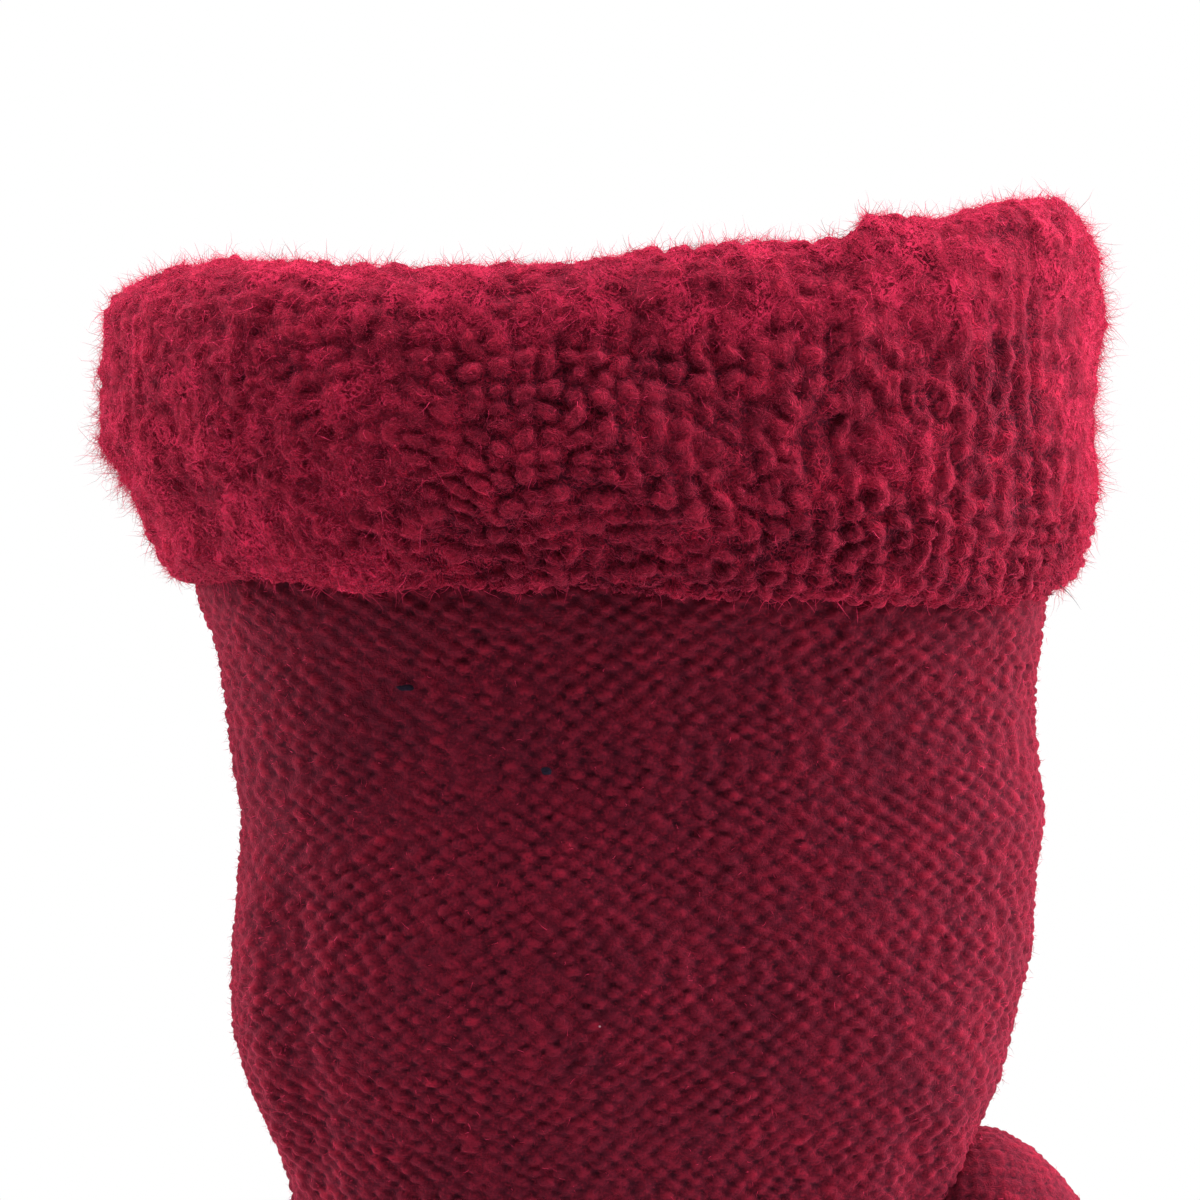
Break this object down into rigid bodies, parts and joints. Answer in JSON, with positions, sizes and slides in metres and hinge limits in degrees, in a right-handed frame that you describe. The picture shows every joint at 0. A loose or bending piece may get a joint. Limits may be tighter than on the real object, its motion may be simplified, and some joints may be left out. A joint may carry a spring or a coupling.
{
  "type": "knitted glove",
  "caption": "Soft knitted glove for a right hand, fingers hanging down, with a brushed lining and a wide turned-up cuff; the wrist and every digit fold.",
  "frame": {"origin": "centre of the glove's mouth, level with the fold at the top of the turned-up cuff", "axes": "+Z out of the mouth, away from the fingers; +X towards the thumb; +Y towards the palm side, so -Y is the back of the hand"},
  "size_m": [0.1277, 0.0588, 0.2324],
  "materials": {
    "knit": "plain purl knit",
    "pile": "brushed loops, fuzzy",
    "lining": "brushed pile",
    "hem": "overlocked yarn",
    "elastic": "covered elastic thread",
    "label": "woven satin ribbon, blank"
  },
  "bodies": {
    "wrist": {"wrist_shell": "knit", "wrist_lining": "lining", "cuff_ground": "knit", "cuff_pile": "pile", "cuff_hem": "hem", "care_label": "label"},
    "hand": {"hand_shell": "knit", "hand_lining": "lining", "elastic_0": "elastic", "elastic_1": "elastic", "elastic_2": "elastic"},
    "thumb_root": {"thumb_root_shell": "knit", "thumb_root_lining": "lining"},
    "thumb_tip": {"thumb_tip_shell": "knit", "thumb_tip_lining": "lining", "thumb_gather": "knit"},
    "index_root": {"index_root_shell": "knit", "index_root_lining": "lining"},
    "index_tip": {"index_tip_shell": "knit", "index_tip_lining": "lining", "index_gather": "knit"},
    "middle_root": {"middle_root_shell": "knit", "middle_root_lining": "lining"},
    "middle_tip": {"middle_tip_shell": "knit", "middle_tip_lining": "lining", "middle_gather": "knit"},
    "ring_root": {"ring_root_shell": "knit", "ring_root_lining": "lining"},
    "ring_tip": {"ring_tip_shell": "knit", "ring_tip_lining": "lining", "ring_gather": "knit"},
    "little_root": {"little_root_shell": "knit", "little_root_lining": "lining"},
    "little_tip": {"little_tip_shell": "knit", "little_tip_lining": "lining", "little_gather": "knit"}
  },
  "joints": [
    {"name": "wrist_fold", "type": "hinge", "parent": "wrist", "child": "hand", "pos_m": [0, 0, -0.078], "axis": [1, 0, 0], "range_deg": [-20, 40]},
    {"name": "thumb_root_fold", "type": "hinge", "parent": "hand", "child": "thumb_root", "pos_m": [0.05008, 0, -0.11893], "axis": [0.848, 0, 0.5299], "range_deg": [-10, 50]},
    {"name": "thumb_middle_fold", "type": "hinge", "parent": "thumb_root", "child": "thumb_tip", "pos_m": [0.0628, 0, -0.13928], "axis": [0.848, 0, 0.5299], "range_deg": [-4, 70]},
    {"name": "index_root_fold", "type": "hinge", "parent": "hand", "child": "index_root", "pos_m": [0.02945, 0, -0.162], "axis": [0.9976, 0, 0.0698], "range_deg": [-10, 80]},
    {"name": "index_middle_fold", "type": "hinge", "parent": "index_root", "child": "index_tip", "pos_m": [0.03161, 0, -0.19292], "axis": [0.9976, 0, 0.0698], "range_deg": [-4, 90]},
    {"name": "middle_root_fold", "type": "hinge", "parent": "hand", "child": "middle_root", "pos_m": [0.00895, 0, -0.162], "axis": [0.9998, 0, 0.0175], "range_deg": [-10, 80]},
    {"name": "middle_middle_fold", "type": "hinge", "parent": "middle_root", "child": "middle_tip", "pos_m": [0.00956, 0, -0.197], "axis": [0.9998, 0, 0.0175], "range_deg": [-4, 90]},
    {"name": "ring_root_fold", "type": "hinge", "parent": "hand", "child": "ring_root", "pos_m": [-0.01135, 0, -0.162], "axis": [0.9994, 0, -0.0349], "range_deg": [-10, 80]},
    {"name": "ring_middle_fold", "type": "hinge", "parent": "ring_root", "child": "ring_tip", "pos_m": [-0.01247, 0, -0.19398], "axis": [0.9994, 0, -0.0349], "range_deg": [-4, 90]},
    {"name": "little_root_fold", "type": "hinge", "parent": "hand", "child": "little_root", "pos_m": [-0.03045, 0, -0.155], "axis": [0.9945, 0, -0.1045], "range_deg": [-10, 80]},
    {"name": "little_middle_fold", "type": "hinge", "parent": "little_root", "child": "little_tip", "pos_m": [-0.03306, 0, -0.17986], "axis": [0.9945, 0, -0.1045], "range_deg": [-4, 90]}
  ]
}
